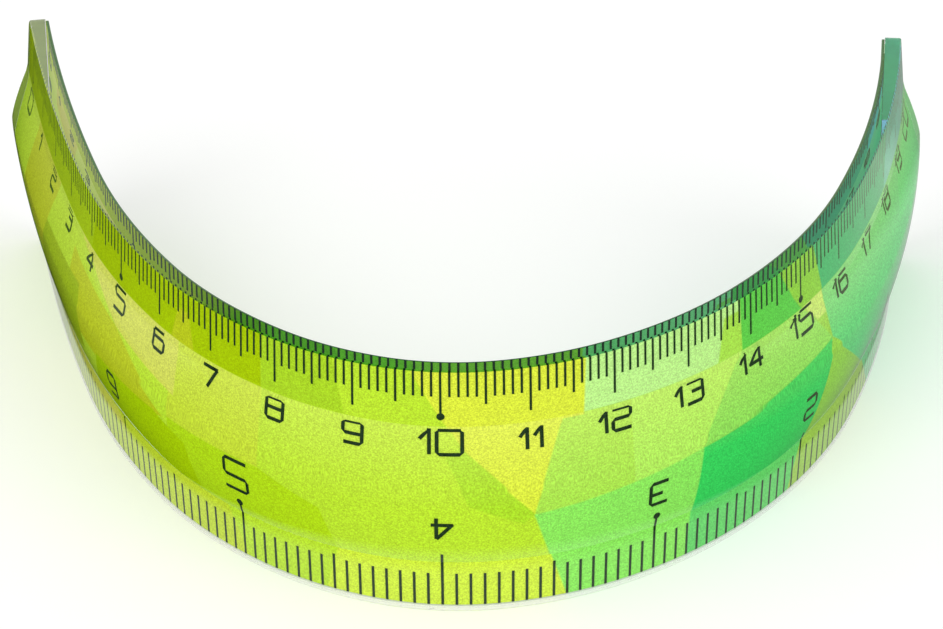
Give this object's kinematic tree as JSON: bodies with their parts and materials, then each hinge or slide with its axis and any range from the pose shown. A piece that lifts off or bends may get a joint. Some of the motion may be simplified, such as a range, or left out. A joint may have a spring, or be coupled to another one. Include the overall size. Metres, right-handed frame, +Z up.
{
  "type": "flexible ruler",
  "caption": "Soft clear ruler with a crowned face, coloured film and printed centimetre and inch scales, bent into a U and standing on its inch edge.",
  "frame": {"origin": "middle of the ruler's length, in the middle of the flat of its bottom (inch) edge", "axes": "+Z up across the ruler's width, +X to the right as the scale is read from the convex side, +Y towards the open side of the bend"},
  "size_m": [0.1153, 0.0893, 0.0325],
  "materials": {
    "clear_plastic": "glossy clear soft plastic",
    "coloured_print": "film printed with large plain facets from yellow-green to emerald, fine grain",
    "backing": "thin smooth protective film, pale green",
    "dark_ink": "dark green-black screen-printed ink"
  },
  "bodies": {
    "root": {"clear_body": "clear_plastic", "colour_film": "coloured_print", "backing_film": "backing", "millimetre_lines": "dark_ink", "half_centimetre_lines": "dark_ink", "centimetre_lines": "dark_ink", "five_centimetre_lines": "dark_ink", "sixteenth_inch_lines": "dark_ink", "half_inch_lines": "dark_ink", "even_inch_lines": "dark_ink", "odd_inch_lines": "dark_ink", "metric_numerals": "dark_ink", "inch_numerals": "dark_ink"}
  },
  "joints": []
}
